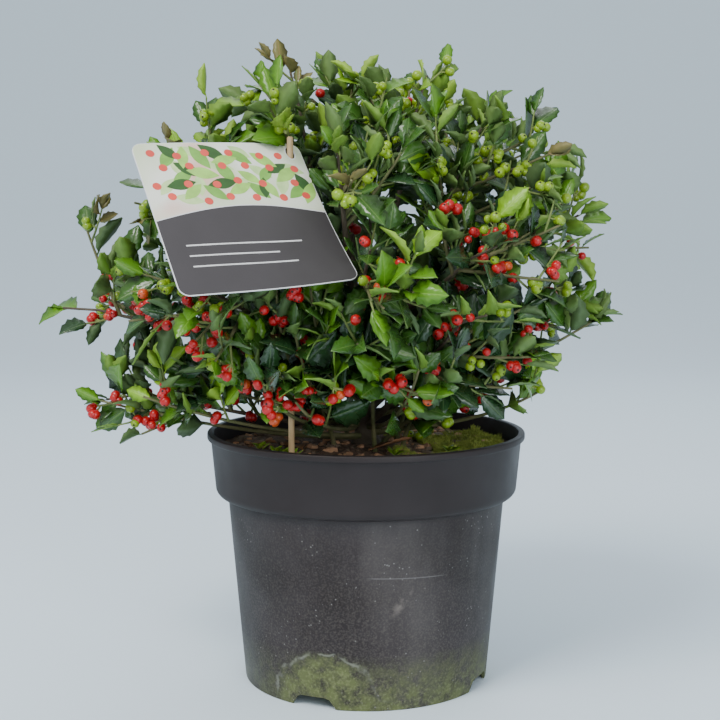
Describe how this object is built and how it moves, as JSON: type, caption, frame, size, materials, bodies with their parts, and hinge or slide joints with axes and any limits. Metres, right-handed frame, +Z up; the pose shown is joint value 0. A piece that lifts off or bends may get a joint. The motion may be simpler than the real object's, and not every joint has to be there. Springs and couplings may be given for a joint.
{
  "type": "potted holly shrub",
  "caption": "Young evergreen holly with a rounded leafy crown and berries, in a round tapered nursery pot of potting mix, with a plain plant label on a thin stick.",
  "frame": {"origin": "centre of the pot's flat underside", "axes": "+Z up along the pot's axis, -Y towards the side where the label hangs"},
  "size_m": [0.4125, 0.3556, 0.4563],
  "materials": {
    "pot_plastic": "dull, worn",
    "potting_mix": "moist, crumbly",
    "moss": "soft, velvety",
    "label_stick": "bare cane",
    "label_card": "satin print",
    "bark": "smooth young bark",
    "foliage": "glossy leaves"
  },
  "bodies": {
    "root": {"pot": "pot_plastic", "potting_mix": "potting_mix", "moss": "moss", "label_stick": "label_stick", "label_card": "label_card", "trunk": "bark", "bough_low_1": "bark", "bough_low_2": "bark", "bough_low_3": "bark", "bough_low_4": "bark", "bough_low_5": "bark", "bough_low_6": "bark", "bough_low_7": "bark", "bough_low_8": "bark", "bough_top_1": "bark", "bough_top_2": "bark", "bough_top_3": "bark", "bough_upper_1": "bark", "bough_upper_2": "bark", "bough_upper_3": "bark", "bough_upper_4": "bark", "bough_upper_5": "bark", "bough_upper_6": "bark", "bough_middle_1": "bark", "bough_middle_2": "bark", "bough_middle_3": "bark", "bough_middle_4": "bark", "bough_middle_5": "bark", "bough_middle_6": "bark", "bough_middle_7": "bark", "bough_middle_8": "bark", "foliage_low_1": "foliage", "foliage_low_2": "foliage", "foliage_low_3": "foliage", "foliage_low_4": "foliage", "foliage_low_5": "foliage", "foliage_low_6": "foliage", "foliage_low_7": "foliage", "foliage_low_8": "foliage", "foliage_top_1": "foliage", "foliage_top_2": "foliage", "foliage_top_3": "foliage", "foliage_upper_1": "foliage", "foliage_upper_2": "foliage", "foliage_upper_3": "foliage", "foliage_upper_4": "foliage", "foliage_upper_5": "foliage", "foliage_upper_6": "foliage", "foliage_middle_1": "foliage", "foliage_middle_2": "foliage", "foliage_middle_3": "foliage", "foliage_middle_4": "foliage", "foliage_middle_5": "foliage", "foliage_middle_6": "foliage", "foliage_middle_7": "foliage", "foliage_middle_8": "foliage"}
  },
  "joints": []
}
